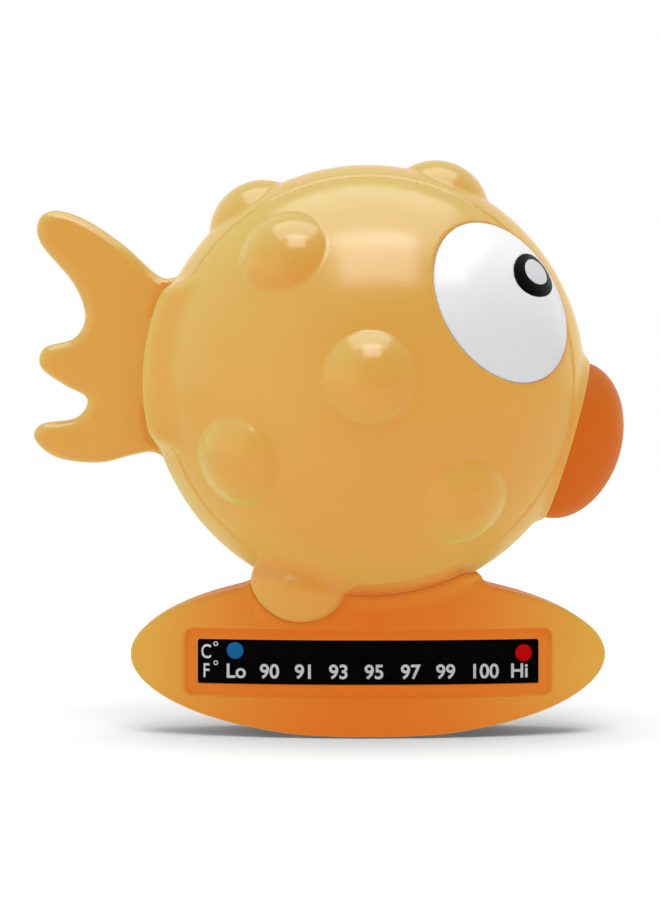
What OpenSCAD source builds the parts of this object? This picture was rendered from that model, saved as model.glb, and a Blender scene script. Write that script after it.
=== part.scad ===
// Floating bath thermometer shaped like a round fish on an oval foot.
// +Z is up, the fish looks along +X, and the temperature strip faces -Y.
// The origin is the middle of the flat under the base, on the surface it rests on.

/* [Ball] */
// Width and height of the round body
ball_d = 100; // [94:1:106]
// Depth of the round body, front dome to rear dome
ball_depth = 76; // [72:1:80]
// Height of the middle of the ball above the resting face
ball_z = 80; // [79:0.5:82]
// Width of the centre band, seam to seam
band_w = 29.8; // [28:0.1:32]
// Wall thickness of the hollow body mouldings
wall = 2.2; // [1.8:0.1:2.6]

/* [Bumps] */
// Radius of the sphere that each round bump is cut from
bump_r = 12.5; // [11:0.5:14]
// Height of a bump above the ball
bump_h = 4.2; // [3:0.1:5]
// Distance of the ring of side bumps from the middle, as a share of the ball's radius
ring_ratio = 0.69; // [0.66:0.01:0.72]

/* [Eyes] */
// Width of a white eye, away from the middle of the body
eye_w = 35.4; // [34:0.2:36]
// Height of a white eye
eye_h = 38.4; // [37:0.2:39]
// Height of the eye's dome above its rim
eye_dome = 6.4; // [5.8:0.1:6.8]
// Height of the black pupil
pupil_h = 10.6; // [9:0.2:11]
// Height of the pale glint inside the pupil
glint_h = 6.3; // [5:0.1:6.6]

/* [Tail and mouth] */
// Thickness of the tail fin
tail_t = 6; // [5:0.5:7]
// Half height of the lips along their base
mouth_half_h = 18.2; // [16:0.1:18.6]
// Half depth of the lips, towards each side
mouth_half_d = 13.4; // [12:0.1:13.7]
// How far the lips stand out
mouth_out = 13; // [10:0.1:14]

/* [Base] */
// Width of the oval base
base_w = 108.4; // [106:0.2:112]
// Full height of the oval before its underside is flattened
base_h = 36.6; // [36:0.2:38]
// Greatest depth of the base, front to back
base_d = 31; // [31:0.5:34]
// Radius of the bowed front and back faces
bow_r = 158; // [150:1:175]
// Wall thickness of the base
base_wall = 2.4; // [2:0.1:2.8]

/* [Temperature strip] */
// Width of the recess around the strip
recess_w = 83.4; // [82:0.2:84.4]
// Height of the recess around the strip
recess_h = 15.4; // [14:0.2:16]
// Depth of the recess
recess_depth = 1.2; // [0.8:0.1:1.6]
// Width of the strip
strip_w = 77.2; // [74:0.2:78]
// Height of the strip
strip_h = 9.9; // [9:0.1:10.4]

/* [Hidden] */

$fn = 96;
body_tone = "#e0a650";
base_tone = "#dc7a34";
gap = 0.1;                       // clearance between two fitted pieces
slit = 0.02;                     // clearance round an inlay
far = 200;                       // longer than anything in the model

ball_r = ball_d / 2;
ball_ry = ball_depth / 2;
seam_y = band_w / 2;
tongue_t = 1.4;
tongue_l = 4;

// Ring bumps, as angles around the ball from the nose side
ring_angles = [124, 212, 307.5];
// Bumps on the centre band
band_angles = [125, 68];

// The foot is a sphere sunk in the front of the ball and the base
foot_r = 16.2;
foot_at = [-14.8, -4.2, 37.9];

eye_rx = eye_w / 2;
eye_ry = eye_h / 2;
eye_angle = 30.4;
eye_tilt = 38.3;
eye_out = 33.9;                  // middle of the eye's rim, away from the ball's axis
eye_fwd = 23.7;                  // and towards the front
eye_deep = (eye_rx * eye_ry + eye_dome * eye_dome) / (2 * eye_dome);
eye_cut = sqrt(1 - pow(1 - eye_dome / eye_deep, 2));
eye_rim = 1.4;
eye_seat_t = 2.4;
eye_seat_w = 1.6;                // rim of the shell outside the eye
pupil_at = [8.3, 1.5];
pupil_stretch = 1.44;            // width to height
glint_at = [9.5, 1.9];
glint_stretch = 1.42;
inlay_t = 1.8;
glint_t = 0.9;
inlay_tilt = 18;                 // slope of the dome at the pupil
eye_peg_r = 1.8;
eye_peg_at = 9;
eye_peg_l = 5.5;
clip_r = 4;
clip_t = 1;
press = 0.03;                    // hole of a push-on clip, over its peg
skin = 0.5;                      // ribs stop this far inside the ball's skin

mouth_angle = -16.1;
mouth_at = 47.3;                 // the lips' flat back, from the middle of the ball
lip_w = 1;
mouth_peg_r = 3;
mouth_step = 5;                  // lips outside their plug
mouth_floor = mouth_at - 3;
mouth_wall = 2.2;                // wall of the cup behind the lips
mouth_clip_r = 6.5;

tail_rim_r = 50.9;
tail_root = -tail_rim_r;         // root end of the fin's visible blade
tail_tab_l = 9;
tail_tab_h = 22;
tail_tab_z = 4;
tail_pin_r = 1.5;
tail_pin_l = 12;
tail_pin_in = 5.5;               // pins, inwards from the root
tail_pin_z = 6;                  // and above and below the tab's middle
tail_wall = 2.3;                 // wall round the tab
tail_rim_t = 6;                  // how much deeper the rim is than the fin
tail_rim_box = [[-60, -45], [-20, 20], [-16, 24]];

base_rx = base_w / 2;
base_rz = base_h / 2;
base_ry = base_d / 2;
base_z = base_rz - 0.3;
collar_r = ball_r + 1;
collar_in = 48.2;
collar_top = 36.8;
collar_proud = 0.9;
collar_half_w = 32;
collar_low = 22;
foot_cut = 11.6;                 // radius of the foot where it meets the base
foot_lip = 3;

recess_z = 16.7;
mark_r = 1.9;
cold_at = [-30.1, 19.2];
hot_at = [35.2, 18.6];
film_t = 0.3;
pad_t = 0.5;
window_t = 0.8;
recess_corner = 2;
strip_corner = 0.5;
strip_frame = 5;                 // the wall behind the strip is this much larger
stack_back = recess_depth + window_t + 2 * film_t + pad_t;

cover_w = 62;
cover_d = 20;
cover_t = 2.6;
cover_ledge = 4;                 // width of the ledge that the cover seats on
cover_screw_at = [22, 7.8];
seal_t = 0.6;
screw_r = 1.1;
screw_head_r = 2.2;
screw_head_h = 1.3;
screw_z = 1.4;                   // level of the cover screws' heads
screw_l = 6.5;
screw_boss_r = 2.8;
screw_boss_h = 11;

weight_w = 46;
weight_d = 11.6;
weight_h = 9;
weight_z = 8;
weight_screw_x = 16;
weight_screw_r = 1.2;
weight_head_r = 2.8;
weight_head_h = 1.6;
weight_foot = 2.4;               // level where the weight's posts start

neck_screw_x = 8;
neck_screw_r = 1.5;
neck_head_z = 26.4;              // where the neck screws' heads seat
neck_head_r = 3;
neck_head_h = 1.8;
neck_l = 12;
boss_r = 4;
neck_seal_w = 25;
neck_seal_d = 13;
neck_seal_z = 24;

// ---- shared shapes ----

// Solid ball, shrunk by inset all round: an oval turned about the front-to-rear axis
module ball(inset = 0) {
    translate([0, 0, ball_z]) rotate([90, 0, 0]) rotate_extrude() intersection() {
        scale([ball_r - inset, ball_ry - inset]) circle(r = 1);
        translate([0, -far / 2]) square(far);
    }
}

// Places children on the ball: +Z points out of its skin, share 0 is the front and 1 the rim
module on_ball(angle, share) {
    tilt = atan2(share / ball_r, sqrt(1 - share * share) / ball_ry);
    translate([0, 0, ball_z]) rotate([0, -angle, 0])
        translate([ball_r * share, -ball_ry * sqrt(1 - share * share), 0])
            rotate([90, 0, tilt]) children();
}

module bump(angle, share, inset = 0) {
    on_ball(angle, share) translate([0, 0, bump_h - bump_r]) sphere(r = bump_r - inset);
}

// Front of the foot, which stands in front of the seam
module foot(inset = 0) {
    intersection() {
        translate(foot_at) sphere(r = foot_r - inset);
        slab(-far / 2, -seam_y - inset);
    }
}

module side_bumps(inset = 0) {
    bump(0, 0, inset);
    for (a = ring_angles) bump(a, ring_ratio, inset);
}

// Slab of space between two depths
module slab(y0, y1) {
    translate([-far / 2, y0, -far / 4]) cube([far, y1 - y0, far]);
}

// Ring that follows the ball between two insets and two depths
module ball_ring(outer, inner, y0, y1) {
    intersection() {
        difference() {
            ball(outer);
            ball(inner);
        }
        slab(y0, y1);
    }
}

// Places children on the eye's rim plane, +Z outwards and +X away from the middle
module at_eye() {
    translate([0, 0, ball_z]) rotate([0, -eye_angle, 0])
        translate([eye_out, -eye_fwd, 0]) rotate([90, 0, eye_tilt]) children();
}

// Oval dome whose section at the rim is the eye's outline
module eye_dome_oval() {
    translate([0, 0, eye_dome - eye_deep])
        scale([eye_rx / eye_cut, eye_ry / eye_cut, eye_deep]) sphere(r = 1, $fn = 2 * $fn);
}

// Oval post along the eye's axis
module eye_post(grow, z0, z1) {
    translate([0, 0, z0]) scale([eye_rx + grow, eye_ry + grow, 1]) cylinder(r = 1, h = z1 - z0);
}

module eye_pegs(r, l) {
    for (s = [-1, 1]) translate([0, s * eye_peg_at, -eye_rim - l]) cylinder(r = r, h = l);
}

// ---- body ----

module side_shell() {
    color(body_tone) difference() {
        union() {
            difference() {
                intersection() {
                    union() {
                        ball();
                        side_bumps();
                    }
                    slab(-far / 2, -seam_y);
                }
                ball(wall);
                side_bumps(wall);
            }
            ball_ring(wall - skin, wall + tongue_t, -seam_y - 2, -seam_y);
            ball_ring(wall + gap, wall + tongue_t, -seam_y - 2, -seam_y + tongue_l);
            // the foot, in front of the seam
            difference() {
                foot();
                ball(wall);
            }
            // thick seat behind the eye
            intersection() {
                at_eye() eye_post(eye_seat_w, -eye_rim - eye_seat_t, 0);
                ball(skin);
            }
        }
        at_eye() eye_post(gap, -eye_rim - gap, far / 8);
        at_eye() eye_pegs(eye_peg_r + gap, eye_peg_l + 1);
    }
}

module rear_side() { mirror([0, 1, 0]) children(); }

module front_side_shell() { side_shell(); }
module rear_side_shell() { rear_side() side_shell(); }

module at_mouth() {
    translate([0, 0, ball_z]) rotate([0, 90 - mouth_angle, 0]) children();
}

// Elliptical boss or socket for the lips
module mouth_oval(grow, z0, z1) {
    translate([0, 0, z0])
        scale([mouth_half_h + grow, mouth_half_d + grow, 1]) cylinder(r = 1, h = z1 - z0);
}

// Block round the fin's tab, from the fin's root to its inner end
module tail_tab(grow = 0) {
    translate([tail_root, -tail_t / 2 - grow, ball_z + tail_tab_z - tail_tab_h / 2 - grow])
        cube([tail_tab_l + grow, tail_t + 2 * grow, tail_tab_h + 2 * grow]);
}

// Low rim of the band that the fin's root stands on
module tail_rim() {
    intersection() {
        translate([0, (tail_t + tail_rim_t) / 2, ball_z]) rotate([90, 0, 0])
            cylinder(r = tail_rim_r, h = tail_t + tail_rim_t);
        translate([tail_rim_box[0][0], tail_rim_box[1][0], ball_z + tail_rim_box[2][0]])
            cube([for (side = tail_rim_box) side[1] - side[0]]);
    }
}

// Room in the band for the eye's seat, which reaches across the seam
module eye_notch() {
    at_eye() eye_post(eye_seat_w + gap, -eye_rim - eye_seat_t - gap, far / 8);
}

module tail_pin_holes(r, l) {
    for (s = [-1, 1]) translate([tail_root + tail_pin_in, l / 2, ball_z + tail_tab_z + s * tail_pin_z])
        rotate([90, 0, 0]) cylinder(r = r, h = l);
}

module centre_band() {
    color(body_tone) difference() {
        union() {
            difference() {
                intersection() {
                    union() {
                        ball();
                        for (a = band_angles) bump(a, 1);
                        at_mouth() mouth_oval(lip_w, mouth_floor - 4, mouth_at);
                        tail_rim();
                    }
                    slab(-seam_y, seam_y);
                }
                ball(wall);
            }
            // cup behind the mouth and walls round the fin's tab
            at_mouth() mouth_oval(-mouth_step + 2, mouth_floor - mouth_wall, mouth_at);
            intersection() {
                tail_tab(tail_wall);
                ball(skin);
            }
            // neck bosses
            for (s = [-1, 1]) translate([s * neck_screw_x, 0, ball_z - ball_r + 1.5])
                cylinder(r = boss_r, h = neck_l);
        }
        at_mouth() {
            mouth_oval(-mouth_step, mouth_floor, far / 2);
            translate([0, 0, mouth_floor / 2]) cylinder(r = mouth_peg_r + gap, h = mouth_at / 2);
        }
        translate([-1, 0, 0]) tail_tab(gap);
        tail_tab(gap);
        tail_pin_holes(tail_pin_r + gap, tail_pin_l);
        eye_notch();
        rear_side() eye_notch();
        neck_shanks(gap / 2, 20);
    }
}

// Closed curve through a few points
function pick(p, i) = p[(i + len(p)) % len(p)];
function curve_point(a, b, c, d, t) =
    0.5 * (2 * b + (c - a) * t + (2 * a - 5 * b + 4 * c - d) * t * t
    + (3 * b - a - 3 * c + d) * t * t * t);
function closed_curve(p, steps) = [for (i = [0:len(p) - 1]) for (k = [0:steps - 1])
    curve_point(pick(p, i - 1), pick(p, i), pick(p, i + 1), pick(p, i + 2), k / steps)];

// Outline of the fin, from the top of its root round the three lobes
tail_outline = [[-38, 21], [-45.2, 23.3], [-49.3, 25.5], [-56, 31.6], [-64.5, 37.3], [-71.5, 39.6],
    [-75.6, 37.6], [-75.2, 32], [-67.8, 23], [-65, 15.5], [-67.5, 10.3], [-74.4, 8], [-75.2, 3.6],
    [-70, -0.4], [-64.6, -3.6], [-67, -8], [-75, -9.5], [-76.6, -13], [-71.5, -17.2], [-62, -18.4],
    [-54, -16.6], [-47.5, -15.3], [-40, -14.5]];

module tail_fin() {
    color(body_tone) difference() {
        union() {
            difference() {
                translate([0, tail_t / 2, ball_z]) rotate([90, 0, 0]) linear_extrude(tail_t)
                    polygon(closed_curve(tail_outline, 6));
                translate([0, far / 2, ball_z]) rotate([90, 0, 0])
                    cylinder(r = tail_rim_r + gap, h = far);
            }
            translate([-1, 0, 0]) tail_tab();
            tail_tab();
        }
        tail_pin_holes(tail_pin_r + gap, tail_pin_l);
    }
}

module tail_pins() { color("silver") tail_pin_holes(tail_pin_r, tail_pin_l - 2); }

// ---- eyes ----

module eye() {
    color("white") at_eye() difference() {
        union() {
            intersection() {
                eye_dome_oval();
                eye_post(0, -eye_rim, eye_dome + 1);
            }
            eye_pegs(eye_peg_r, eye_peg_l);
        }
        inlay(pupil_h / 2 + slit, pupil_stretch, pupil_at, inlay_t + slit);
    }
}

// Height of the eye's dome over a point of its rim plane
function dome_z(p) = eye_dome - eye_deep + eye_deep
    * sqrt(1 - pow(p[0] * eye_cut / eye_rx, 2) - pow(p[1] * eye_cut / eye_ry, 2));

// Oval disc let into the eye's dome, with a flat back at a depth below its middle
module inlay(r, stretch, at, depth) {
    intersection() {
        eye_dome_oval();
        translate([at[0], at[1], -1]) scale([stretch, 1, 1]) cylinder(r = r, h = eye_dome + 2);
        translate([at[0], at[1], dome_z(at) - depth]) rotate([0, inlay_tilt, 0])
            translate([-eye_rx, -eye_rx, 0]) cube([eye_w, eye_w, eye_rx]);
    }
}

module pupil() {
    color("black") at_eye() difference() {
        inlay(pupil_h / 2, pupil_stretch, pupil_at, inlay_t);
        inlay(glint_h / 2 + slit, glint_stretch, glint_at, glint_t + slit);
    }
}

module glint() {
    color("gainsboro") at_eye() inlay(glint_h / 2, glint_stretch, glint_at, glint_t);
}

module front_eye() { eye(); }
module rear_eye() { rear_side() eye(); }
module front_pupil() { pupil(); }
module rear_pupil() { rear_side() pupil(); }
module front_glint() { glint(); }
module rear_glint() { rear_side() glint(); }

module clip_pair() {
    at_eye() for (s = [-1, 1])
        translate([0, s * eye_peg_at, -eye_rim - eye_seat_t - clip_t - gap]) difference() {
        cylinder(r = clip_r, h = clip_t);
        translate([0, 0, -1]) cylinder(r = eye_peg_r + press, h = clip_t + 2);
    }
}

module eye_clips() {
    color("silver") {
        clip_pair();
        rear_side() clip_pair();
    }
}

// ---- mouth ----

module mouth() {
    color(base_tone) at_mouth() {
        intersection() {
            translate([0, 0, mouth_at]) scale([mouth_half_h, mouth_half_d, mouth_out]) sphere(r = 1);
            mouth_oval(5, mouth_at, far / 2);
        }
        mouth_oval(-mouth_step - gap, mouth_floor + gap, mouth_at + 1);
        translate([0, 0, mouth_floor - 6]) cylinder(r = mouth_peg_r, h = 8);
    }
}

module mouth_clip() {
    color("silver") at_mouth() translate([0, 0, mouth_floor - mouth_wall - clip_t - gap]) difference() {
        cylinder(r = mouth_clip_r, h = clip_t);
        translate([0, 0, -1]) cylinder(r = mouth_peg_r + press, h = clip_t + 2);
    }
}

// ---- base ----

// Space inside the oval seen from the front
module oval(inset = 0) {
    translate([0, far / 2, base_z]) rotate([90, 0, 0])
        scale([base_rx - inset, base_rz - inset, 1]) cylinder(r = 1, h = far);
}

// Space behind the bowed front face
module bow(inset = 0, z0 = 0) {
    translate([0, bow_r - base_ry, z0]) cylinder(r = bow_r - inset, h = base_h + 4, $fn = 240);
}

// Oval plate with a gently bowed front and back, flattened below
module base_block(inset = 0) {
    intersection() {
        oval(inset);
        bow(inset, inset);
        rear_side() bow(inset, inset);
    }
}

// Upright bowed slice behind the front face, between two depths
module bow_slice(front, back) {
    difference() {
        bow(front, 1);
        bow(back);
    }
}

// Rounded rectangle seen from the front
module front_panel(w, h, r) {
    translate([0, -2, recess_z]) rotate([90, 0, 0]) linear_extrude(base_d) {
        square([w - 2 * r, h], center = true);
        square([w, h - 2 * r], center = true);
        for (x = [-1, 1]) for (z = [-1, 1])
            translate([x * (w / 2 - r), z * (h / 2 - r)]) circle(r = r, $fn = 32);
    }
}

module layer(w, h, r, front, back) {
    intersection() {
        front_panel(w, h, r);
        bow_slice(front, back);
    }
}

// Upright prism with round ends
module stadium(w, d) {
    for (s = [-1, 1]) translate([s * (w - d) / 2, 0, -1]) cylinder(r = d / 2, h = 15);
    translate([-(w - d) / 2, -d / 2, -1]) cube([w - d, d, 15]);
}

// Copies children to the four cover screws
module cover_corners() {
    for (x = [-1, 1]) for (y = [-1, 1])
        translate([x * cover_screw_at[0], y * cover_screw_at[1], 0]) children();
}

module neck_shanks(grow, z0) {
    for (s = [-1, 1]) translate([s * neck_screw_x, 0, z0])
        cylinder(r = neck_screw_r + grow, h = 40 - z0);
}

// Cylinder from front to rear through the middle of the ball
module ball_cylinder(r) {
    translate([0, far / 2, ball_z]) rotate([90, 0, 0]) cylinder(r = r, h = far);
}

// Collar round the ball and the feet
module collar() {
    intersection() {
        union() {
            ball_cylinder(collar_r);
            translate([foot_at[0], far / 2, foot_at[2]]) rotate([90, 0, 0])
                cylinder(r = foot_cut + foot_lip, h = far);
        }
        bow(-collar_proud);
        rear_side() bow(-collar_proud);
        translate([-collar_half_w, -far / 2, collar_low])
            cube([2 * collar_half_w, far, collar_top - collar_low]);
    }
}

// Ledge inside the underside that carries the cover
module cover_seat() {
    intersection() {
        difference() {
            oval(base_wall - 0.2);
            oval(cover_t + seal_t + base_wall);
            stadium(cover_w - 2 * cover_ledge, cover_d - 2 * cover_ledge);
        }
        stadium(cover_w + 5, cover_d + 5);
    }
    intersection() {
        cover_corners() cylinder(r = screw_boss_r, h = screw_boss_h);
        oval(base_wall);
    }
}

module base_shell() {
    color(base_tone) difference() {
        union() {
            difference() {
                union() {
                    base_block();
                    collar();
                }
                difference() {
                    base_block(base_wall);
                    ball(-base_wall);
                    layer(strip_w + strip_frame, strip_h + strip_frame, 1, -1, stack_back + 2);
                }
            }
            cover_seat();
            intersection() {
                for (s = [-1, 1]) translate([s * neck_screw_x, 0, neck_head_z])
                    cylinder(r = boss_r, h = 8);
                oval(base_wall);
            }
        }
        ball(-gap);
        ball_cylinder(collar_in);
        foot(-gap);
        rear_side() foot(-gap);
        intersection() {
            ball(-1 - gap);
            neck_tube(gap);
        }
        neck_shanks(gap, 20);
        layer(recess_w, recess_h, recess_corner, -4, recess_depth);
        layer(strip_w + 2 * gap, strip_h + 2 * gap, strip_corner + gap, -4, stack_back);
        difference() {
            stadium(cover_w, cover_d);
            oval(cover_t + seal_t);
        }
        cover_corners() cylinder(r = screw_r + gap / 2, h = 10);
    }
}

// Long tube round both neck screws
module neck_tube(grow = 0) {
    translate([0, 0, neck_seal_z]) difference() {
        stadium(neck_seal_w + 2 + 2 * grow, neck_seal_d + 2 + 2 * grow);
        stadium(neck_seal_w - 2 - 2 * grow, neck_seal_d - 2 - 2 * grow);
    }
}

// Ring pressed between the ball and its cradle
module neck_seal() {
    color("dimgray") intersection() {
        difference() {
            ball(-1);
            ball(-gap);
        }
        neck_tube();
    }
}

module screw(head_r, head_h, shank_r, shank_l) {
    cylinder(r = head_r, h = head_h);
    translate([0, 0, head_h - 0.5]) cylinder(r = shank_r, h = shank_l + 0.5);
}

module neck_screws() {
    color("silver") for (s = [-1, 1]) translate([s * neck_screw_x, 0, neck_head_z - neck_head_h])
        screw(neck_head_r, neck_head_h, neck_screw_r, neck_l);
}

module bottom_cover() {
    color(base_tone) difference() {
        union() {
            intersection() {
                difference() {
                    base_block();
                    oval(cover_t);
                }
                stadium(cover_w - 2 * gap, cover_d - 2 * gap);
            }
            for (s = [-1, 1]) translate([s * weight_screw_x, 0, weight_foot])
                cylinder(r = boss_r, h = weight_z - weight_foot);
        }
        cover_corners() {
            cylinder(r = screw_r + gap, h = 10);
            translate([0, 0, -1]) cylinder(r = screw_head_r + gap, h = screw_z + screw_head_h + 1);
        }
        for (s = [-1, 1]) translate([s * weight_screw_x, 0, weight_foot + 1])
            cylinder(r = weight_screw_r + gap / 2, h = weight_z);
    }
}

module cover_seal() {
    color("dimgray") difference() {
        intersection() {
            difference() {
                oval(cover_t);
                oval(cover_t + seal_t);
            }
            difference() {
                stadium(cover_w - 1, cover_d - 1);
                stadium(cover_w - 2 * cover_ledge, cover_d - 2 * cover_ledge);
            }
        }
        cover_corners() cylinder(r = screw_r + gap, h = 10);
    }
}

module cover_screws() {
    color("silver") cover_corners() translate([0, 0, screw_z])
        screw(screw_head_r, screw_head_h, screw_r, screw_l);
}

module ballast_weight() {
    color("slategray") difference() {
        translate([-weight_w / 2, -weight_d / 2, weight_z]) cube([weight_w, weight_d, weight_h]);
        for (s = [-1, 1]) translate([s * weight_screw_x, 0, 0])
            cylinder(r = weight_screw_r + 3 * gap, h = weight_z + weight_h + 1);
    }
}

module ballast_screws() {
    color("silver") for (s = [-1, 1])
        translate([s * weight_screw_x, 0, weight_z + weight_h + weight_head_h]) rotate([180, 0, 0])
            screw(weight_head_r, weight_head_h, weight_screw_r, weight_h + 3.6);
}

// ---- temperature strip, from the window inwards ----

module mark(at, grow) {
    intersection() {
        translate([at[0], 0, at[1]]) rotate([90, 0, 0]) cylinder(r = mark_r + grow, h = base_d);
        bow_slice(recess_depth + window_t, recess_depth + window_t + film_t);
    }
}

module strip_window() {
    color("lightcyan", 0.3) layer(strip_w, strip_h, strip_corner, recess_depth, recess_depth + window_t);
}

module scale_film() {
    color("black") difference() {
        layer(strip_w, strip_h, strip_corner, recess_depth + window_t, recess_depth + window_t + film_t);
        mark(cold_at, slit / 2);
        mark(hot_at, slit / 2);
    }
}

module crystal_film() {
    color("darkslategray") layer(strip_w, strip_h, strip_corner, recess_depth + window_t + film_t,
        recess_depth + window_t + 2 * film_t);
}

module strip_pad() {
    color("gray") layer(strip_w, strip_h, strip_corner, stack_back - pad_t, stack_back);
}

module cold_mark() { color("royalblue") mark(cold_at, 0); }
module hot_mark() { color("red") mark(hot_at, 0); }

centre_band();
front_side_shell();
rear_side_shell();
tail_fin();
tail_pins();
front_eye();
rear_eye();
front_pupil();
rear_pupil();
front_glint();
rear_glint();
eye_clips();
mouth();
mouth_clip();
base_shell();
neck_seal();
neck_screws();
ballast_weight();
ballast_screws();
bottom_cover();
cover_seal();
cover_screws();
strip_pad();
crystal_film();
scale_film();
cold_mark();
hot_mark();
strip_window();
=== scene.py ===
# Floating bath thermometer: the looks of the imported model, built around its fixed frame.
# Smooth moulded pieces are described as distance fields in millimetres and meshed on a grid.
import math

import bpy
import numpy as np
from mathutils import Matrix, Vector


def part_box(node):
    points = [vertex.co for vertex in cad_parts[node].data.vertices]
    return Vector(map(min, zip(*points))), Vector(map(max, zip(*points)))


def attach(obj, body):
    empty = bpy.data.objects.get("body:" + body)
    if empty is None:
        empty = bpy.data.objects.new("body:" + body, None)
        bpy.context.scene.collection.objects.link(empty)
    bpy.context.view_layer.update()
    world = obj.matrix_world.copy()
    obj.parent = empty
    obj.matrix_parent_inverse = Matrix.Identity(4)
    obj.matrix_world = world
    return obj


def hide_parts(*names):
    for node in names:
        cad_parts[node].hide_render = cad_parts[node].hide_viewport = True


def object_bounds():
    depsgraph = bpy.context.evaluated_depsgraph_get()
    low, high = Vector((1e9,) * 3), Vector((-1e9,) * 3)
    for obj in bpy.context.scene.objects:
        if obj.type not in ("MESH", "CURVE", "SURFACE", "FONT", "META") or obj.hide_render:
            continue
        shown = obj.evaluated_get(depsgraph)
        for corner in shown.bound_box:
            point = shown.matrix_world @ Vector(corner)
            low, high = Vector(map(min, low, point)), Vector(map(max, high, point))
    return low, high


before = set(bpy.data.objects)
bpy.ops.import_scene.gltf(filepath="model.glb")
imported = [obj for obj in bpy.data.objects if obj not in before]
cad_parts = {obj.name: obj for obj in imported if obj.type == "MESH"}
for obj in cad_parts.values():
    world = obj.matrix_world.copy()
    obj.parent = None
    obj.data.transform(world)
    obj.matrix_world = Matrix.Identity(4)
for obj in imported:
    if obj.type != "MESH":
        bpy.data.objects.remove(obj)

cad_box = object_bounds()

# ---- sizes, in millimetres, from the frame where it shows them ----

MM = 0.001


def node_box(name):
    low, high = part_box(name)
    return np.array(low) / MM, np.array(high) / MM


band_low, band_high = node_box("centre_band")
side_low, side_high = node_box("front_side_shell")
fin_low, fin_high = node_box("tail_fin")
base_low, base_high = node_box("base_shell")
window_low, window_high = node_box("strip_window")

WALL = 2.2
GAP = 0.1
BUMP_R = 12.5
BUMP_H = 4.2
BALL_R = 50.0
SEAM_Y = band_high[1]
BALL_RY = -side_low[1] - BUMP_H
CENTRE = np.array([0.0, 0.0, band_low[2] + BALL_R])
BALL_RADII = np.array([BALL_R, BALL_RY, BALL_R])
RING_SHARE = 0.69
RING_ANGLES = (124, 212, 307.5)
BAND_ANGLES = (125, 68)

FOOT_R = 16.2
FOOT_AT = np.array([-14.8, -4.2, 37.9])
FOOT_CUT = 12.2
FOOT_BACK = -12.5
FOOT_TOP = 38.6
FOOT_SLOPE = 0.26
FOOT_FADE = 9.0
FOOT_BLEND = 3.5

EYE_RX = 17.7
EYE_RY = 19.2
EYE_RIM = 1.4
EYE_SEAT = 2.4
EYE_SEAT_WALL = 1.6
EYE_CLEAR = 25.0
EYE_PROUD = 3.0
EYE_LIFT = 0.15
EYE_ANGLE = 30.4
EYE_TILT = 38.3
EYE_OUT = 33.9
EYE_FORWARD = 23.7
PUPIL_AT = (8.3, 1.5)
PUPIL_RADII = (7.63, 5.3)
GLINT_AT = (9.5, 1.9)
GLINT_RADII = (4.47, 3.15)
PUPIL_T = 0.9
GLINT_T = 0.5

MOUTH_ANGLE = -16.1
MOUTH_AT = 47.3
MOUTH_RADII = np.array([18.5, 13.4, 13.0])
LIP = 0.3
MOUTH_STEP = 5.0
MOUTH_FLOOR = MOUTH_AT - 3
BOSS_IN = 30.0

RIM_R = 50.9
RIM_HALF_DEPTH = 17.5
RIM_LOW = -14.6
RIM_HIGH = 22.5
RIM_IN = 36.0
FIN_T = fin_high[1] - fin_low[1]
TAB_L = 9.0
TAB_H = 22.0
TAB_Z = CENTRE[2] + 4
TAB_WALL = 2.3

BASE_RX = base_high[0]
BASE_RZ = 18.3
BASE_Z = BASE_RZ - 0.3
BASE_RY = 15.5
BOW_R = 158.0
BASE_WALL = 2.4
BASE_ROUND = 1.4
COLLAR_BLEND = 1.2
COLLAR_IN = 48.2
NECK_Y = 14.0
COLLAR_TOP = base_high[2]
COLLAR_LOW = 22.0
NECK_X = -0.2
NECK_HALF_W = 25.2
NECK_FILLET = 6.5
NECK_SUNK = 1.5
BEAD_R = 1.4
BEAD_SUNK = 0.4
BALL_BEAD = 49.5
FOOT_BEAD = 13.3

STRIP_W = window_high[0] - window_low[0]
STRIP_H = window_high[2] - window_low[2]
RECESS_W = STRIP_W + 6.2
RECESS_H = STRIP_H + 5.5
RECESS_Z = (window_low[2] + window_high[2]) / 2
RECESS_R = 2.0
RECESS_DEPTH = 1.2
WINDOW_T = 0.8
FILM_T = 0.3
STACK_BACK = RECESS_DEPTH + WINDOW_T + 2 * FILM_T + 0.5
BACKING = 5.0
COVER_W = 62.0
COVER_D = 20.0
COVER_BACK = 3.2
COVER_SEAT = 5.0
COVER_LEDGE = 8.0
LEDGE_TOP = BASE_Z - 6

VOXEL = 0.6
FINE = VOXEL * 0.6


# ---- distance fields: points come as rows of x, y, z; a field is negative inside ----

def soft_min(a, b, k):
    h = np.maximum(k - np.abs(a - b), 0) / k
    return np.minimum(a, b) - h * h * k / 4


def soft_max(a, b, k):
    return -soft_min(-a, -b, k)


def oval_ball(p, centre, radii):
    q = p - centre
    k0 = np.sqrt(((q / radii) ** 2).sum(1))
    k1 = np.sqrt(((q / radii**2) ** 2).sum(1))
    return k0 * (k0 - 1) / np.maximum(k1, 1e-6)


def sphere(p, centre, r):
    return np.sqrt(((p - centre) ** 2).sum(1)) - r


def ellipse(u, v, ru, rv):
    k0 = np.hypot(u / ru, v / rv)
    k1 = np.hypot(u / ru**2, v / rv**2)
    return k0 * (k0 - 1) / np.maximum(k1, 1e-6)


def rounded_rectangle(u, v, w, h, r):
    du = np.abs(u) - w / 2 + r
    dv = np.abs(v) - h / 2 + r
    return np.hypot(np.maximum(du, 0), np.maximum(dv, 0)) + np.minimum(np.maximum(du, dv), 0) - r


def slab(u, low, high):
    return np.maximum(low - u, u - high)


def rotation(axis, degrees):
    return Matrix.Rotation(math.radians(degrees), 4, axis)


def local(p, place):
    m = np.array(place.inverted())
    return p @ m[:3, :3].T + m[:3, 3]


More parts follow.
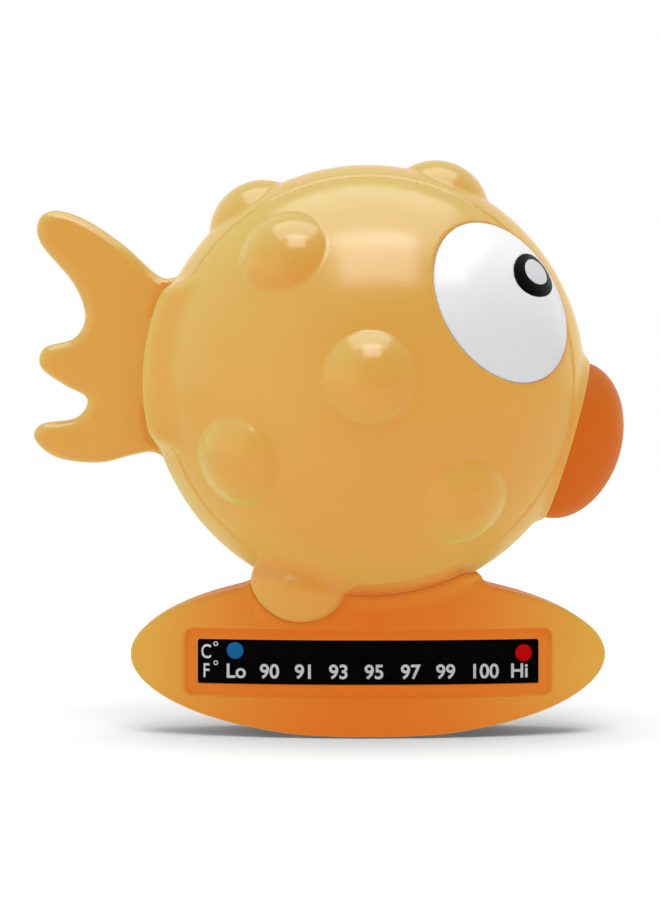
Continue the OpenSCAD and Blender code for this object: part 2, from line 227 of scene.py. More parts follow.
def outside(q, place):
    """Points given in a place's own frame, in the shared frame."""
    m = np.array(place)
    return q @ m[:3, :3].T + m[:3, 3]


def mirrored(p):
    return p * np.array([1, -1, 1])


# ---- meshing a field: one vertex in each cell that the skin crosses, set on its creases ----

def slope(field, p, step=0.02):
    total = np.zeros_like(p)
    for e in ((1, -1, -1), (-1, -1, 1), (-1, 1, -1), (1, 1, 1)):
        total += np.array(e) * field(p + np.array(e) * step)[:, None]
    return total / np.maximum(np.sqrt((total**2).sum(1)), 1e-9)[:, None]


def crossings(field, values, low, size, axis):
    """Grid edges along one axis that cross the skin: their lower corner, crossing point and sign."""
    a = np.take(values, range(values.shape[axis] - 1), axis)
    b = np.take(values, range(1, values.shape[axis]), axis)
    corner = np.argwhere((a < 0) != (b < 0))
    va = a[tuple(corner.T)].astype(float)
    vb = b[tuple(corner.T)].astype(float)
    step = np.zeros(3)
    step[axis] = size
    start = low + corner * size
    t0 = np.zeros(len(corner))
    t1 = np.ones(len(corner))
    for _ in range(3):
        t = np.clip(t0 + (t1 - t0) * va / (va - vb), t0, t1)
        v = field(start + t[:, None] * step)
        same = (v < 0) == (va < 0)
        t0, va = np.where(same, t, t0), np.where(same, v, va)
        t1, vb = np.where(same, t1, t), np.where(same, vb, v)
    return corner, start + t[:, None] * step, a[tuple(corner.T)] < 0


def surface(field, low, high, size):
    """Quads over the zero skin of a field, with a normal at each vertex."""
    low = np.array(low, float)
    count = np.ceil((np.array(high) - low) / size).astype(int) + 1
    axes = [(low[i] + size * np.arange(count[i])) for i in range(3)]
    values = np.empty(count, np.float32)
    for i, x in enumerate(axes[0]):
        y, z = np.meshgrid(axes[1], axes[2], indexing="ij")
        p = np.stack([np.full(y.size, x), y.ravel(), z.ravel()], 1)
        values[i] = field(p).reshape(y.shape)
    cell_shape = tuple(count)
    cells, points, quads = [], [], []
    for axis in range(3):
        corner, point, inside_first = crossings(field, values, low, size, axis)
        u, v = (axis + 1) % 3, (axis + 2) % 3
        ring = []
        for du, dv in ((1, 1), (0, 1), (0, 0), (1, 0)):
            c = corner.copy()
            c[:, u] -= du
            c[:, v] -= dv
            ring.append(np.ravel_multi_index(tuple(c.T), cell_shape))
        quad = np.stack(ring, 1)
        quad[~inside_first] = quad[~inside_first][:, ::-1]
        cells.append(np.stack(ring, 1))
        points.append(point)
        quads.append(quad)
    cells = np.concatenate(cells)
    points = np.concatenate(points)
    quads = np.concatenate(quads)
    names, quads = np.unique(quads, return_inverse=True)
    quads = quads.reshape(-1, 4)
    owner = np.searchsorted(names, cells)
    normals = slope(field, points)

    def gather(v):
        return sum(np.bincount(owner[:, i], v, len(names)) for i in range(4))

    number = gather(np.ones(len(points)))
    middle = np.stack([gather(points[:, i]) for i in range(3)], 1) / number[:, None]
    reach = (normals * points).sum(1)
    a = np.empty((len(names), 3, 3))
    for i in range(3):
        for j in range(3):
            a[:, i, j] = gather(normals[:, i] * normals[:, j])
    b = np.stack([gather(normals[:, i] * reach) for i in range(3)], 1)
    b -= np.einsum("nij,nj->ni", a, middle)
    pull = 0.05 * np.eye(3) * number[:, None, None]
    vertices = middle + np.linalg.solve(a + pull, b[..., None])[..., 0]
    cell_low = low + np.stack(np.unravel_index(names, cell_shape), 1) * size
    vertices = np.clip(vertices, cell_low, cell_low + size)
    return vertices, quads, slope(field, vertices)


def piece(name, mesh_data, place=None, flip=False):
    """A shown object from vertices in millimetres, faces and normals."""
    vertices, faces, normals = mesh_data
    if place is not None:
        vertices = outside(vertices, place)
        normals = normals @ np.array(place)[:3, :3].T
    if flip:
        vertices, normals, faces = mirrored(vertices), mirrored(normals), faces[:, ::-1]
    mesh = bpy.data.meshes.new(name)
    mesh.vertices.add(len(vertices))
    mesh.vertices.foreach_set("co", (vertices * MM).astype(np.float32).ravel())
    mesh.loops.add(faces.size)
    mesh.loops.foreach_set("vertex_index", faces.astype(np.int32).ravel())
    mesh.polygons.add(len(faces))
    mesh.polygons.foreach_set("loop_start", np.arange(0, faces.size, faces.shape[1], dtype=np.int32))
    mesh.update(calc_edges=True)
    mesh.validate()
    mesh.polygons.foreach_set("use_smooth", np.ones(len(mesh.polygons), bool))
    mesh.normals_split_custom_set_from_vertices(normals.tolist())
    made = bpy.data.objects.new(name, mesh)
    bpy.context.scene.collection.objects.link(made)
    return made


# ---- the round body ----

EYE_PLACE = (
    Matrix.Translation(Vector(CENTRE))
    @ rotation("Y", -EYE_ANGLE)
    @ Matrix.Translation((EYE_OUT, -EYE_FORWARD, 0))
    @ rotation("Z", EYE_TILT)
    @ rotation("X", 90)
)
MOUTH_PLACE = Matrix.Translation(Vector(CENTRE)) @ rotation("Y", 90 - MOUTH_ANGLE)
BUMP_BLEND = 0.5
MOUTH_BLEND = 3.0
SEAM_ROUND = 1.0
SEAM_GAP = 0.02
SEAM_UNDER = 0.3
SEAM_OVER = 0.8


def ball(p, inset=0.0):
    return oval_ball(p, CENTRE, BALL_RADII - inset)


def bump_centre(angle, share):
    across, along = share / BALL_R, math.sqrt(1 - share**2) / BALL_RY
    tilt = math.atan2(across, along)
    drop = BUMP_H - BUMP_R
    out = BALL_R * share + drop * math.sin(tilt)
    forward = -BALL_RY * math.sqrt(1 - share**2) - drop * math.cos(tilt)
    turn = math.radians(angle)
    return CENTRE + np.array([out * math.cos(turn), forward, out * math.sin(turn)])


SIDE_BUMPS = [bump_centre(0, 0)] + [bump_centre(a, RING_SHARE) for a in RING_ANGLES]
BAND_BUMPS = [bump_centre(a, 1) for a in BAND_ANGLES]


def around_ball(p, r):
    return np.hypot(p[:, 0], p[:, 2] - CENTRE[2]) - r


def around_foot(p, r):
    return np.hypot(p[:, 0] - FOOT_AT[0], p[:, 2] - FOOT_AT[2]) - r


def tail_rim(p):
    """Low swelling that the fin stands on."""
    q = p - CENTRE
    f = soft_max(np.hypot(q[:, 0], q[:, 2]) - RIM_R, np.abs(q[:, 1]) - RIM_HALF_DEPTH, 6.0)
    f = soft_max(f, slab(q[:, 2], RIM_LOW, RIM_HIGH), 4.0)
    return np.maximum(f, q[:, 0] + RIM_IN)


def mouth_oval(q, grow):
    return ellipse(q[:, 0], q[:, 1], MOUTH_RADII[0] + grow, MOUTH_RADII[1] + grow)


def mouth_boss(p):
    q = local(p, MOUTH_PLACE)
    f = soft_max(mouth_oval(q, LIP), q[:, 2] - MOUTH_AT, 0.8)
    return np.maximum(f, BOSS_IN - q[:, 2])


def skin(p, bumps):
    f = ball(p)
    for centre in bumps:
        f = soft_min(f, sphere(p, centre, BUMP_R), BUMP_BLEND)
    f = soft_min(f, tail_rim(p), 2.5)
    return soft_min(f, mouth_boss(p), MOUTH_BLEND)


def fading(p, full, least):
    """A size along the seam, which shrinks over the swelling at the tail."""
    return full - (full - least) * np.clip(1 - tail_rim(p) / 3, 0, 1)


def eye_post(p, grow, low, high):
    q = local(p, EYE_PLACE)
    side = ellipse(q[:, 0], q[:, 1], EYE_RX + grow, EYE_RY + grow)
    return np.maximum(side, slab(q[:, 2], low, high))


def eye_seat(p):
    return np.maximum(eye_post(p, EYE_SEAT_WALL, -EYE_RIM - EYE_SEAT, 0), ball(p, 0.5))


def eye_pocket(p):
    return eye_post(p, 0.05, -EYE_RIM - GAP, EYE_CLEAR)


def foot_ball(p, grow):
    """Front of a sunken sphere, standing on the base as a short post."""
    f = sphere(p, FOOT_AT, FOOT_R + grow)
    f = soft_max(f, around_foot(p, FOOT_CUT + grow), 0.8)
    top = p[:, 2] - FOOT_TOP + FOOT_SLOPE * (p[:, 0] - FOOT_AT[0]) - grow
    f = soft_max(f, top, FOOT_FADE)
    return np.maximum(f, p[:, 1] - FOOT_BACK - grow)


def side_shell(p):
    half = p[:, 1] + SEAM_Y + SEAM_GAP
    f = soft_max(skin(p, SIDE_BUMPS), half, fading(p, SEAM_ROUND, 0.05))
    hollow = ball(p, WALL)
    f = np.maximum(f, -hollow)
    foot = np.maximum(foot_ball(p, 0.0), -hollow)
    f = soft_min(f, foot, FOOT_BLEND)
    f = np.minimum(f, np.maximum(eye_seat(p), half))
    return soft_max(f, -eye_pocket(p), 0.3)


def tail_tab(p, grow):
    along = slab(p[:, 0], -RIM_R - 2, -RIM_R + TAB_L + grow)
    across = np.maximum(np.abs(p[:, 1]) - FIN_T / 2 - grow, np.abs(p[:, 2] - TAB_Z) - TAB_H / 2 - grow)
    return np.maximum(along, across)


def neck_ring(p):
    """Where the band is squared off to fill the base's cradle."""
    f = np.maximum(around_ball(p, COLLAR_IN - 0.2), np.abs(p[:, 1]) - NECK_Y)
    return soft_max(f, p[:, 2] - COLLAR_TOP, 2.0)


def centre_band(p):
    half = np.abs(p[:, 1]) - SEAM_Y + SEAM_GAP
    outer = soft_min(skin(p, BAND_BUMPS), neck_ring(p), 1.5)
    f = soft_max(outer, half, fading(p, SEAM_ROUND, 0.05))
    # the tongues under both seams
    f = np.minimum(f, np.maximum(outer + fading(p, SEAM_UNDER, 0.03), half - SEAM_OVER))
    f = np.maximum(f, -ball(p, WALL))
    q = local(p, MOUTH_PLACE)
    cup = np.maximum(mouth_oval(q, 2 - MOUTH_STEP), slab(q[:, 2], MOUTH_FLOOR - WALL, MOUTH_AT))
    f = np.minimum(f, cup)
    walls = np.maximum(tail_tab(p, TAB_WALL), ball(p, 0.5))
    f = np.minimum(f, walls)
    seats = np.minimum(eye_seat(p), eye_seat(mirrored(p)))
    f = np.minimum(f, np.maximum(seats, half))
    f = np.maximum(f, -np.maximum(mouth_oval(q, -MOUTH_STEP), MOUTH_FLOOR - q[:, 2]))
    f = np.maximum(f, -tail_tab(p, GAP))
    pockets = np.minimum(eye_pocket(p), eye_pocket(mirrored(p)))
    return soft_max(f, -pockets, 0.3)


# ---- tail fin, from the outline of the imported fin's flat side ----

def flat_outline(node, y):
    """Boundary of a node's flat face at depth y, as ordered points in millimetres."""
    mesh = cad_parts[node].data
    co = np.array([v.co for v in mesh.vertices]) / MM
    uses = {}
    for polygon in mesh.polygons:
        ring = list(polygon.vertices)
        if np.abs(co[ring, 1] - y).max() > 0.01:
            continue
        keys = [tuple(np.round(co[i, [0, 2]], 3)) for i in ring]
        for a, b in zip(keys, keys[1:] + keys[:1]):
            uses[(a, b)] = uses.get((a, b), 0) + 1
    border = {a: b for a, b in uses if (b, a) not in uses}
    start = min(border)
    points = [start]
    while border[points[-1]] != start:
        points.append(border[points[-1]])
    return np.array(points)


FIN_OUTLINE = flat_outline("tail_fin", fin_high[1])
FIN_ROUND = 2.6
FIN_FLARE = 4.0
FIN_IN = 47.5


def polygon_distance(u, v, points):
    best = np.full(u.shape, 1e9)
    inside = np.zeros(u.shape, bool)
    for (u0, v0), (u1, v1) in zip(points, np.roll(points, -1, 0)):
        du, dv = u1 - u0, v1 - v0
        t = np.clip(((u - u0) * du + (v - v0) * dv) / (du * du + dv * dv), 0, 1)
        best = np.minimum(best, np.hypot(u - u0 - t * du, v - v0 - t * dv))
        if v0 != v1:
            inside ^= ((v0 > v) != (v1 > v)) & (u < u0 + (v - v0) * du / dv)
    return np.where(inside, -best, best)


def tail_fin(p):
    """The flat fin, with a root that flares into the swelling."""
    root = np.hypot(p[:, 0], p[:, 2] - CENTRE[2])
    side = polygon_distance(p[:, 0], p[:, 2], FIN_OUTLINE)
    side = soft_min(side, root - RIM_R + 1, FIN_FLARE) + FIN_ROUND
    face = np.abs(p[:, 1]) - FIN_T / 2 + FIN_ROUND
    f = np.hypot(np.maximum(side, 0), np.maximum(face, 0)) + np.minimum(np.maximum(side, face), 0)
    f = np.maximum(f - FIN_ROUND, slab(p[:, 0], -100, -RIM_R + TAB_L))
    beyond = slab(p[:, 2] - CENTRE[2], RIM_LOW - FIN_FLARE, RIM_HIGH + FIN_FLARE)
    f = np.maximum(f, np.where(root < RIM_R + 1, beyond, -1.0))
    return np.maximum(f, FIN_IN - root)


# ---- eyes and lips, in their own places ----

def eye_skin(q):
    """The ball's own skin, raised towards the middle of the eye."""
    share = (q[:, 0] / EYE_RX) ** 2 + (q[:, 1] / EYE_RY) ** 2
    return ball(outside(q, EYE_PLACE)) - EYE_LIFT - EYE_PROUD * (1 - np.minimum(share, 1.3))


def inlay_oval(q, at, radii, grow):
    return ellipse(q[:, 0] - at[0], q[:, 1] - at[1], radii[0] + grow, radii[1] + grow)


def inlay(q, at, radii, deep, grow=0.0):
    shape = np.maximum(inlay_oval(q, at, radii, grow), -eye_skin(q) - deep - grow)
    return np.maximum(shape, -q[:, 2] - EYE_RIM)


def eye(q):
    f = soft_max(eye_skin(q), ellipse(q[:, 0], q[:, 1], EYE_RX, EYE_RY), 0.6)
    f = np.maximum(f, -EYE_RIM - q[:, 2])
    return np.maximum(f, -inlay(q, PUPIL_AT, PUPIL_RADII, PUPIL_T, 0.02))


def pupil(q):
    f = np.maximum(inlay(q, PUPIL_AT, PUPIL_RADII, PUPIL_T), eye_skin(q) - 0.03)
    return np.maximum(f, -inlay(q, GLINT_AT, GLINT_RADII, GLINT_T, 0.02))


def glint(q):
    return np.maximum(inlay(q, GLINT_AT, GLINT_RADII, GLINT_T), eye_skin(q) - 0.05)


def lips(q):
    f = oval_ball(q, np.array([0, 0, MOUTH_AT]), MOUTH_RADII)
    f = soft_max(f, MOUTH_AT + 0.05 - q[:, 2], 0.8)
    plug = np.maximum(mouth_oval(q, -MOUTH_STEP - GAP), slab(q[:, 2], MOUTH_FLOOR + GAP, MOUTH_AT + 1))
    return np.minimum(f, plug)


# ---- base ----

def base_oval(p, inset):
    return ellipse(p[:, 0], p[:, 2] - BASE_Z, BASE_RX - inset, BASE_RZ - inset)


def bow(p, inset):
    """Behind the bowed front face."""
    return np.hypot(p[:, 0], p[:, 1] - BOW_R + BASE_RY) - BOW_R + inset


def base_block(p, inset=0.0):
    f = soft_max(bow(p, inset), bow(mirrored(p), inset), BASE_ROUND)
    f = soft_max(f, base_oval(p, inset), BASE_ROUND)
    return soft_max(f, inset - p[:, 2], 0.8)


def collar(p):
    """Low ring round the ball and the foot, beaded along its front and rear edges, on a short neck."""
    faces = np.maximum(bow(p, BEAD_SUNK), bow(mirrored(p), BEAD_SUNK))
    line = soft_min(around_ball(p, BALL_BEAD), around_foot(p, FOOT_BEAD), 2.0)
    f = soft_min(np.maximum(line - BEAD_R, faces), np.hypot(line, faces) - BEAD_R, 0.6)
    sides = np.abs(p[:, 0] - NECK_X) - NECK_HALF_W
    f = soft_max(f, sides, 1.0)
    f = np.minimum(f, np.maximum(soft_min(sides, base_oval(p, NECK_SUNK), NECK_FILLET), faces))
    f = soft_max(f, p[:, 2] - COLLAR_TOP, 1.0)
    return np.maximum(f, COLLAR_LOW - p[:, 2])


def stadium(p, w, d):
    return np.hypot(np.maximum(np.abs(p[:, 0]) - (w - d) / 2, 0), p[:, 1]) - d / 2


def base_shell(p):
    f = soft_min(base_block(p), collar(p), COLLAR_BLEND)
    panel = rounded_rectangle(p[:, 0], p[:, 2] - RECESS_Z, RECESS_W, RECESS_H, RECESS_R)
    f = soft_max(f, -np.maximum(panel, -bow(p, RECESS_DEPTH)), 0.35)
    pocket = rounded_rectangle(p[:, 0], p[:, 2] - RECESS_Z, STRIP_W + 0.2, STRIP_H + 0.2, 0.6)
    f = np.maximum(f, -np.maximum(pocket, np.maximum(-bow(p, STACK_BACK), p[:, 1])))
    cradle = np.minimum(ball(p, -GAP), np.minimum(foot_ball(p, GAP), foot_ball(mirrored(p), GAP)))
    f = soft_max(f, -np.minimum(cradle, around_ball(p, COLLAR_IN)), 0.5)
    back = rounded_rectangle(p[:, 0], p[:, 2] - RECESS_Z, STRIP_W + BACKING, STRIP_H + BACKING, 1)
    back = np.maximum(back, np.maximum(-bow(p, STACK_BACK + 2), p[:, 1]))
    hollow = np.maximum(base_block(p, BASE_WALL), -np.minimum(ball(p, -BASE_WALL), back))
    seat = stadium(p, COVER_W + COVER_SEAT, COVER_D + COVER_SEAT)
    seat = np.maximum(seat, -base_oval(p, COVER_BACK + BASE_WALL))
    hollow = np.maximum(hollow, -seat)
    f = np.maximum(f, -hollow)
    opening = np.maximum(stadium(p, COVER_W, COVER_D), -base_oval(p, COVER_BACK))
    opening = np.maximum(opening, p[:, 2] - BASE_Z)
    f = soft_max(f, -opening, 0.4)
    way = np.maximum(stadium(p, COVER_W - COVER_LEDGE, COVER_D - COVER_LEDGE), p[:, 2] - LEDGE_TOP)
    return np.maximum(f, -way)


def window(p):
    f = rounded_rectangle(p[:, 0], p[:, 2] - RECESS_Z, STRIP_W, STRIP_H, 0.5)
    f = soft_max(f, bow(p, RECESS_DEPTH), 0.3)
    return np.maximum(f, np.maximum(-bow(p, RECESS_DEPTH + WINDOW_T - 0.08), p[:, 1]))


MARGIN = 2.5
PANE_MARGIN = 0.6
EYE_HIGH = 7.0


def around(low, high, margin=MARGIN):
    return np.array(low) - margin, np.array(high) + margin


def build_pieces():
    shown = {}
    side = surface(side_shell, *around(side_low, side_high, 3 * MARGIN), VOXEL)
    shown["front_side_shell"] = piece("front_side_moulding", side)
    shown["rear_side_shell"] = piece("rear_side_moulding", side, flip=True)
    for node, name, field, low, high in (
        ("centre_band", "centre_band_moulding", centre_band, band_low, band_high),
        ("tail_fin", "tail_fin_moulding", tail_fin, fin_low, fin_high),
        ("base_shell", "base_moulding", base_shell, base_low, base_high),
    ):
        shown[node] = piece(name, surface(field, *around(low, high), VOXEL))
    eye_box = around((-EYE_RX, -EYE_RY, -EYE_RIM), (EYE_RX, EYE_RY, EYE_HIGH))
    for name, field in (("eye", eye), ("pupil", pupil), ("glint", glint)):
        made = surface(field, *eye_box, FINE)
        shown["front_" + name] = piece("front_" + name + "_dome", made, EYE_PLACE)
        shown["rear_" + name] = piece("rear_" + name + "_dome", made, EYE_PLACE, flip=True)
    low = (-MOUTH_RADII[0], -MOUTH_RADII[1], MOUTH_FLOOR)
    high = (MOUTH_RADII[0], MOUTH_RADII[1], MOUTH_AT + MOUTH_RADII[2])
    shown["mouth"] = piece("lips", surface(lips, *around(low, high), FINE), MOUTH_PLACE)
    pane = surface(window, *around(window_low, window_high, PANE_MARGIN), FINE * 0.8)
    shown["strip_window"] = piece("window_pane", pane)
    for node, made in shown.items():
        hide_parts(node)
    return shown


shown = build_pieces()


# ---- printing on the temperature strip ----

INK_LIFT = 0.05
LABELS = [
    ("Lo", -29.9), ("90", -22.3), ("91", -14.4), ("93", -6.7), ("95", 1.3),
    ("97", 9.45), ("99", 17.4), ("100", 26.2), ("Hi", 34.2),
]
LABEL_Z = 13.1
LABEL_H = 3.25
UNIT_SQUEEZE = 0.78
UNITS = [("C", -36.7, 17.4), ("F", -36.7, 13.1)]
DEGREE_X = -34.5
DEGREE_R = 0.55
CAPITAL_SHARE = 0.729  # height of a capital letter in a font of size 1


def letter_mesh(text, x, z, height, weight, squeeze=1.0):
    """Flat letters centred on x and standing on z, in millimetres."""
    curve = bpy.data.curves.new("letters", "FONT")
    curve.body = text
    curve.align_x = "CENTER"
    curve.offset = weight
    shape = bpy.data.objects.new("letters", curve)
    bpy.context.scene.collection.objects.link(shape)
    bpy.context.view_layer.update()
    mesh = bpy.data.meshes.new_from_object(shape.evaluated_get(bpy.context.evaluated_depsgraph_get()))
    co = np.array([v.co[:2] for v in mesh.vertices])
    scale = height / CAPITAL_SHARE
    faces = [tuple(f.vertices) for f in mesh.polygons]
    bpy.data.objects.remove(shape)
    bpy.data.curves.remove(curve)
    return co * scale * (squeeze, 1) + (x, z), faces


def ring_mesh(x, z, r, t, steps=24):
    turn = np.linspace(0, 2 * np.pi, steps, endpoint=False)
    circle = np.stack([np.cos(turn), np.sin(turn)], 1)
    co = np.concatenate([circle * r, circle * (r - t)]) + (x, z)
    faces = [(i, (i + 1) % steps, steps + (i + 1) % steps, steps + i) for i in range(steps)]
    return co, faces


def printing():
    parts = [letter_mesh(text, x, LABEL_Z, LABEL_H, 0.022) for text, x in LABELS]
    parts += [letter_mesh(text, x, z, LABEL_H, 0.015, UNIT_SQUEEZE) for text, x, z in UNITS]
    parts += [ring_mesh(DEGREE_X, z + LABEL_H, DEGREE_R, 0.25) for _, _, z in UNITS]
    points, faces = [], []
    for co, ring in parts:
        faces += [tuple(i + len(points) for i in f) for f in ring]
        points += co.tolist()
    flat = np.array(points)
    depth = RECESS_DEPTH + WINDOW_T - INK_LIFT
    y = BOW_R - BASE_RY - np.sqrt((BOW_R - depth) ** 2 - flat[:, 0] ** 2)
    mesh = bpy.data.meshes.new("scale_numbers")
    mesh.from_pydata((np.stack([flat[:, 0], y, flat[:, 1]], 1) * MM).tolist(), [], faces)
    made = bpy.data.objects.new("scale_numbers", mesh)
    bpy.context.scene.collection.objects.link(made)
    return made


shown["numbers"] = printing()


# ---- materials ----

def linear(code):
    parts = [int(code[i:i + 2], 16) / 255 for i in (1, 3, 5)]
    return [c / 12.92 if c < 0.04045 else ((c + 0.055) / 1.055) ** 2.4 for c in parts] + [1.0]


class Nodes:
    """Short calls for one material's nodes."""

    def __init__(self, name):
        self.material = bpy.data.materials.new(name)
        self.material.use_nodes = True
        self.tree = self.material.node_tree
        self.shader = self.tree.nodes["Principled BSDF"]
        self.place = self.add("ShaderNodeTexCoord").outputs["Object"]

    def add(self, kind, **inputs):
        made = self.tree.nodes.new(kind)
        for key, value in inputs.items():
            self.feed(made, key.replace("_", " "), value)
        return made

    def feed(self, to, key, value):
        socket = to.inputs[key]
        if isinstance(value, bpy.types.NodeSocket):
            self.tree.links.new(value, socket)
        else:
            socket.default_value = value

    def noise(self, scale, detail=2.0):
        return self.add("ShaderNodeTexNoise", Vector=self.place, Scale=scale, Detail=detail).outputs["Fac"]

    def math(self, kind, a, b):
        made = self.tree.nodes.new("ShaderNodeMath")
        made.operation = kind
        for index, value in enumerate((a, b)):
            if isinstance(value, bpy.types.NodeSocket):
                self.tree.links.new(value, made.inputs[index])
            else:
                made.inputs[index].default_value = value
        return made.outputs["Value"]

    def blend(self, factor, a, b, kind="MIX"):
        made = self.tree.nodes.new("ShaderNodeMix")
        made.data_type = "RGBA"
        made.blend_type = kind
        for index, value in ((0, factor), (6, a), (7, b)):
            if isinstance(value, bpy.types.NodeSocket):
                self.tree.links.new(value, made.inputs[index])
            else:
                made.inputs[index].default_value = value
        return made.outputs[2]

    def between(self, value, low, high):
        made = self.add("ShaderNodeMapRange", Value=value, To_Min=low, To_Max=high)
        made.inputs["From Min"].default_value = 0.3
        made.inputs["From Max"].default_value = 0.7
        return made.outputs["Result"]

    def bump(self, height, strength, distance):
        made = self.add("ShaderNodeBump", Height=height, Strength=strength, Distance=distance)
        self.feed(self.shader, "Normal", made.outputs["Normal"])

    def set(self, **inputs):
        for key, value in inputs.items():
            self.feed(self.shader, key.replace("_", " "), value)
        return self


def moulded(name, tone, deep, roughness, specular):
    """Moulded plastic: faint clouding and orange peel."""
    n = Nodes(name)
    cloud = n.between(n.noise(28.0, 3.0), 0.0, 1.0)
    n.set(Base_Color=n.blend(cloud, linear(tone), linear(deep)), Specular_IOR_Level=specular)
    n.set(Roughness=n.between(n.noise(140.0), roughness - 0.03, roughness + 0.04), IOR=1.49)
    n.bump(n.noise(900.0, 1.0), 0.05, 0.0004)
    return n


# The base: paler towards its ends as painted light, paler towards its neck, and darker in the strip's
# recess as painted shade.
END_REACH = 50.0
NECK_GLOW = 0.6
NECK_GLOW_Z = 28.0
NECK_GLOW_RISE = 9.0
RECESS_PAINTED_SHADE = 0.75
# painted light: share of the glow lost where the skin faces up
GLOW_LOSS = 0.17
# paler glow where the skin is seen edge-on: painted sheen
RIM_PAINTED_SHEEN = "#be9b59"


def painted_end_light(n):
    """How far a point of the base is towards its paler ends, painted light where the face turns away, and
    towards its paler neck; less inside the strip's recess, where shade is painted.
    """
    place = n.add("ShaderNodeSeparateXYZ", Vector=n.place).outputs
    away = n.math("MULTIPLY", place["X"], 1 / (END_REACH * MM))
    above = n.math("SUBTRACT", place["Z"], NECK_GLOW_Z * MM)
    above = n.math("MULTIPLY", above, NECK_GLOW / (NECK_GLOW_RISE * MM))
    share = n.math("MAXIMUM", n.math("MULTIPLY", away, away), n.math("MINIMUM", above, NECK_GLOW))
    share = n.math("MINIMUM", share, 1.0)
    across = n.math("SUBTRACT", n.math("ABSOLUTE", place["X"], 0.0), (RECESS_W / 2 - RECESS_R) * MM)
    high = n.math("ABSOLUTE", n.math("SUBTRACT", place["Z"], RECESS_Z * MM), 0.0)
    high = n.math("SUBTRACT", high, (RECESS_H / 2 - RECESS_R) * MM)
    corner = [n.math("POWER", n.math("MAXIMUM", side, 0.0), 2.0) for side in (across, high)]
    # the recess panel keeps less of the paler share: painted shade
    inside = n.math("LESS_THAN", n.math("ADD", *corner), ((RECESS_R - 0.2) * MM) ** 2)
    return n.math("MULTIPLY", share, n.math("SUBTRACT", 1.0, n.math("MULTIPLY", inside, RECESS_PAINTED_SHADE)))


def painted_glow_plastic(name, tone, glow, spill, ends, rim, roughness, specular):
    """Moulded plastic with painted light: a glow that only the camera sees stands in for light passed on
    inside the wall.

    The painted glow is weaker where the skin faces up, and blends to a paler painted sheen where it is
    seen edge-on, by the share rim. What it throws on things around it is the paler spill colour. Ends, if
    any, are the tone and glow at the base's ends and neck.
    """
    n = moulded(name, tone, tone, roughness, specular)
    colour, shine = linear(tone), linear(glow)
    if ends:
        share = painted_end_light(n)
        colour = n.blend(share, colour, linear(ends[0]))
        shine = n.blend(share, shine, linear(ends[1]))
    cloud = n.between(n.noise(28.0, 3.0), 0.94, 1.04)
    colour = n.blend(1.0, colour, cloud, "MULTIPLY")
    path = n.tree.nodes.new("ShaderNodeLightPath")
    colour = n.blend(path.outputs["Is Diffuse Ray"], colour, linear(spill))
    up = n.tree.nodes.new("ShaderNodeNewGeometry").outputs["Normal"]
    up = n.add("ShaderNodeSeparateXYZ", Vector=up).outputs["Z"]
    up = n.math("MAXIMUM", up, 0.0)
    keep = n.math("SUBTRACT", 1.0, n.math("MULTIPLY", up, GLOW_LOSS))
    # painted sheen: the glow turns paler where the skin is seen edge-on, less where it faces up
    edge = n.math("POWER", n.add("ShaderNodeLayerWeight", Blend=0.5).outputs["Facing"], 2.0)
    edge = n.math("MULTIPLY", n.math("MULTIPLY", edge, rim), n.math("SUBTRACT", 1.0, up))
    shine = n.blend(edge, shine, linear(RIM_PAINTED_SHEEN))
    # painted glow: emission for camera rays only, weaker where the skin faces up
    n.set(Base_Color=colour, Emission_Color=shine)
    n.set(Emission_Strength=n.math("MULTIPLY", keep, path.outputs["Is Camera Ray"]))
    return n.material


def make_materials():
    plain = {
        "eye_white": ("#eeeef0", "#ebebed", 0.16, 0.5),
        "pupil_black": ("#040404", "#070707", 0.18, 0.06),
        "glint_grey": ("#d4d4d6", "#cfcfd2", 0.2, 0.3),
        "scale_black": ("#030303", "#060606", 0.3, 0.04),
        "crystal": ("#0a100e", "#101a15", 0.35, 0.1),
        "cold_blue": ("#1c80c8", "#187cc4", 0.3, 0.05),
        "hot_red": ("#ff0606", "#f80404", 0.3, 0.03),
        "print_grey": ("#ffffff", "#f8f8f8", 0.4, 0.1),
    }
    made = {name: moulded(name, *look).material for name, look in plain.items()}
    # tone and glow at the base's ends and neck; the paler ends are painted light
    base_painted_ends = ("#4b8c3c", "#d26820")
    glowing = {
        "body_plastic": ("#5a944a", "#ce580a", "#9c9484", None, 1.0, 0.2, 0.65),
        "base_plastic": ("#4b501c", "#d25a0e", "#8c8880", base_painted_ends, 0.7, 0.45, 0.12),
        "mouth_plastic": ("#404616", "#c84e0c", "#8c8880", None, 0.3, 0.35, 0.1),
    }
    made.update({name: painted_glow_plastic(name, *look) for name, look in glowing.items()})
    made.update({
        "window_clear": clear_window(),
        "pad": foam(),
        "seal_rubber": rubber(),
        "steel": brushed_steel(),
    })
    return made


def clear_window():
    n = Nodes("window_clear")
    n.set(Base_Color=(0.02, 0.02, 0.02, 1), Roughness=n.between(n.noise(200.0), 0.1, 0.16))
    n.set(Alpha=n.add("ShaderNodeFresnel", IOR=1.2).outputs["Fac"], Specular_IOR_Level=0.2)
    n.bump(n.noise(300.0, 1.0), 0.04, 0.0003)
    return n.material


def foam():
    n = Nodes("pad")
    cells = n.add("ShaderNodeTexVoronoi", Vector=n.place, Scale=2500.0)
    colour = n.blend(cells.outputs["Distance"], linear("#3c3c3e"), linear("#56565a"))
    n.set(Base_Color=colour, Roughness=0.95)
    n.bump(cells.outputs["Distance"], 0.5, 0.0002)
    return n.material


def rubber():
    n = Nodes("seal_rubber")
    colour = n.blend(n.noise(400.0), linear("#2a2a2c"), linear("#3a3a3c"))
    n.set(Base_Color=colour, Roughness=n.between(n.noise(900.0), 0.6, 0.8))
    n.bump(n.noise(1500.0), 0.2, 0.0001)
    return n.material


